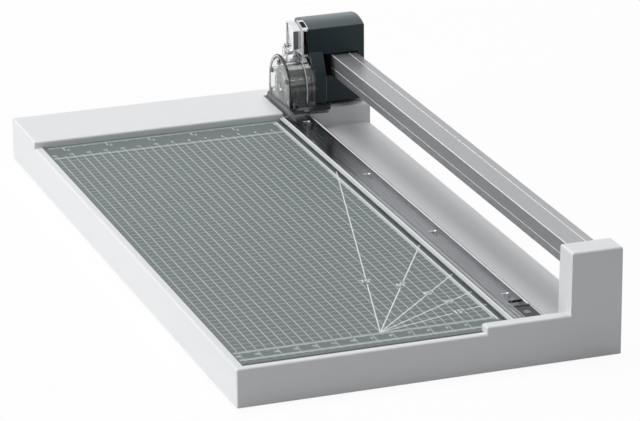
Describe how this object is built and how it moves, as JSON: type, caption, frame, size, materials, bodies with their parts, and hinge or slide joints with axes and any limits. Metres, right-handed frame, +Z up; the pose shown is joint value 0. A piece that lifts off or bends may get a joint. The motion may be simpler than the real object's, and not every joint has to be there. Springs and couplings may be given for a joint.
{
  "type": "paper trimmer",
  "caption": "Desk paper trimmer: a sliding head on a guide rail presses a rotary blade past a steel edge, beside a printed measuring plate and a clear clamp strip.",
  "frame": {"origin": "under the middle of the base's outline, on the plane the rubber feet stand on", "axes": "+X towards the guide rail's side, +Y from the front step to the rear plateau along the cut, +Z up"},
  "size_m": [0.204, 0.408, 0.0752],
  "materials": {
    "pale_plastic": "fine satin",
    "dark_plastic": "soft gloss",
    "black_plastic": "matte",
    "measuring_print": "printed, fine satin",
    "clear_plastic": "polished clear",
    "smoked_plastic": "polished smoked",
    "aluminium": "brushed lengthwise",
    "steel": "ground",
    "spring_steel": "drawn wire",
    "rubber": "matte"
  },
  "bodies": {
    "base": {"base_housing": "pale_plastic", "bottom_plate": "black_plastic", "bottom_screws": "steel", "rubber_feet": "rubber", "measuring_plate": "measuring_print", "bed_strip": "black_plastic", "counter_blade": "steel", "counter_blade_screws": "steel", "front_clip": "black_plastic", "clip_screw": "steel", "clamp_springs": "spring_steel", "guide_rail": "aluminium", "rail_sockets": "black_plastic", "rail_screws": "steel"},
    "clamp": {"clamp_strip": "clear_plastic", "clamp_pins": "steel", "clamp_push_nuts": "steel"},
    "carriage": {"head_cover": "dark_plastic", "head_frame": "black_plastic", "front_glide": "black_plastic", "rear_glide": "black_plastic", "glide_screws": "steel", "head_screws": "steel", "blade_shield": "dark_plastic", "guide_frame": "clear_plastic", "guide_liner": "black_plastic", "return_spring": "spring_steel", "spring_retainer": "black_plastic", "retainer_screws": "steel"},
    "latch": {"latch_button": "black_plastic"},
    "cartridge": {"cartridge_shell_left": "clear_plastic", "cartridge_shell_right": "clear_plastic", "cartridge_screws": "steel", "cartridge_foot": "smoked_plastic", "foot_screws": "steel", "press_arm": "clear_plastic", "cartridge_carrier": "clear_plastic", "blade_axle": "steel", "axle_clip": "steel", "catch_pin": "steel"},
    "catch": {"cartridge_catch": "clear_plastic"},
    "blade": {"rotary_blade": "steel", "blade_hub": "black_plastic", "hub_cap": "steel"}
  },
  "joints": [
    {"name": "carriage_slide", "type": "slide", "parent": "base", "child": "carriage", "axis": [0, 1, 0], "range_m": [-0.33, 0]},
    {"name": "cartridge_press", "type": "slide", "parent": "carriage", "child": "cartridge", "axis": [0, 0, 1], "range_m": [-0.0028, 0], "stiffness_N_per_m": 400, "springref_m": 0.004, "deforming": ["return_spring"]},
    {"name": "clamp_press", "type": "slide", "parent": "base", "child": "clamp", "axis": [0, 0, 1], "range_m": [-0.0009, 0], "deforming": ["clamp_springs"]},
    {"name": "blade_spin", "type": "hinge", "parent": "cartridge", "child": "blade", "pos_m": [0.06625, 0.169, 0.0373], "axis": [1, 0, 0], "continuous": true},
    {"name": "latch_slide", "type": "slide", "parent": "carriage", "child": "latch", "axis": [0, 0, 1], "range_m": [0, 0.008]},
    {"name": "catch_turn", "type": "hinge", "parent": "cartridge", "child": "catch", "pos_m": [0.054, 0.1645, 0.0587], "axis": [1, 0, 0], "range_deg": [0, 90]}
  ],
  "couplings": [
    {"joint": "clamp_press", "follows": "cartridge_press", "ratio": 0.32}
  ]
}
